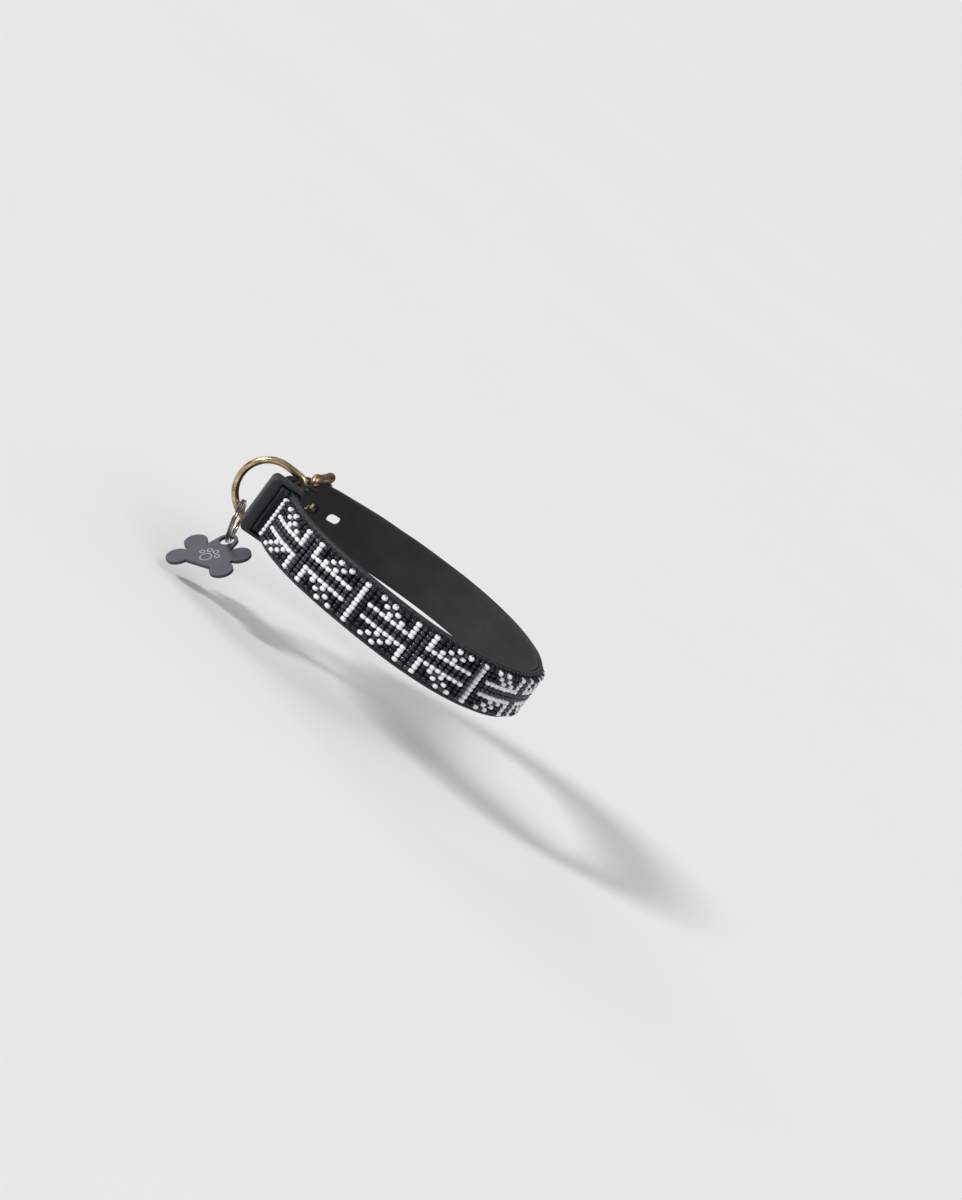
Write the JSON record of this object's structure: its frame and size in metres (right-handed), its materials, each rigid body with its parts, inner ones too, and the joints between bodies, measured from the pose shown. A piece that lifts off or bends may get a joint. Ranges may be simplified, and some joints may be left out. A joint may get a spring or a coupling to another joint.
{
  "type": "dog collar",
  "caption": "Flat black leather dog collar with a sewn panel of seed beads, a roller buckle, a keeper loop, a D-ring at the nape and a bone-shaped tag on a split ring.",
  "frame": {"origin": "centre of the neck opening, halfway across the strap", "axes": "+Z along the neck towards the head, -X towards the nape where the buckle, D-ring and tag are, +X towards the throat"},
  "size_m": [0.1668, 0.1343, 0.067],
  "materials": {
    "black_leather": "smooth black leather, satin, with black painted edges",
    "lining_leather": "matt black lining leather",
    "thread": "waxed black thread",
    "white_bead": "opaque white glass seed bead, glossy",
    "gunmetal_bead": "gunmetal glass seed bead, metallic lustre",
    "black_bead": "opaque black glass seed bead, glossy",
    "antique_brass": "antique brass, polished with dark recesses",
    "dark_nickel": "dark nickel plate",
    "grey_metal": "slate grey satin coat with a lighter engraving"
  },
  "bodies": {
    "collar": {"strap": "black_leather", "strap_lining": "lining_leather", "edge_stitching_head": "thread", "edge_stitching_body": "thread", "turnback_stitching": "thread", "tail_stitching": "thread", "beads_white": "white_bead", "beads_gunmetal": "gunmetal_bead", "beads_black": "black_bead", "bead_threads": "thread"},
    "keeper": {"keeper_loop": "black_leather", "keeper_stitching": "thread"},
    "buckle": {"buckle_frame": "antique_brass"},
    "roller": {"buckle_roller": "antique_brass"},
    "tongue": {"buckle_tongue": "antique_brass"},
    "leash_d_ring": {"d_ring": "antique_brass"},
    "tag_ring": {"split_ring": "dark_nickel"},
    "tag": {"id_tag": "grey_metal"}
  },
  "joints": [
    {"name": "keeper_slide", "type": "slide", "parent": "collar", "child": "keeper", "axis": [0.2168, -0.9762, 0], "range_m": [-0.001, 0.003]},
    {"name": "buckle_tilt", "type": "hinge", "parent": "collar", "child": "buckle", "pos_m": [-0.0627, 0.01777, 0], "axis": [0, 0, 1], "range_deg": [0, 4]},
    {"name": "roller_spin", "type": "hinge", "parent": "buckle", "child": "roller", "pos_m": [-0.05928, 0.04308, 0], "axis": [0, 0, 1], "continuous": true},
    {"name": "tongue_lift", "type": "hinge", "parent": "buckle", "child": "tongue", "pos_m": [-0.0627, 0.01777, 0], "axis": [0, 0, 1], "range_deg": [0, 8]},
    {"name": "d_ring_swing", "type": "hinge", "parent": "collar", "child": "leash_d_ring", "pos_m": [-0.06498, 0.0038, 0], "axis": [0, 0, 1], "range_deg": [-40, 25]},
    {"name": "split_ring_swing", "type": "hinge", "parent": "leash_d_ring", "child": "tag_ring", "pos_m": [-0.08065, 0.00462, -0.01417], "axis": [0.9311, -0.0485, -0.3616], "range_deg": [-15, 15]},
    {"name": "tag_swing", "type": "hinge", "parent": "tag_ring", "child": "tag", "pos_m": [-0.07711, -0.00029, -0.02728], "axis": [0.0932, 0.9404, -0.327], "range_deg": [-15, 15]}
  ]
}
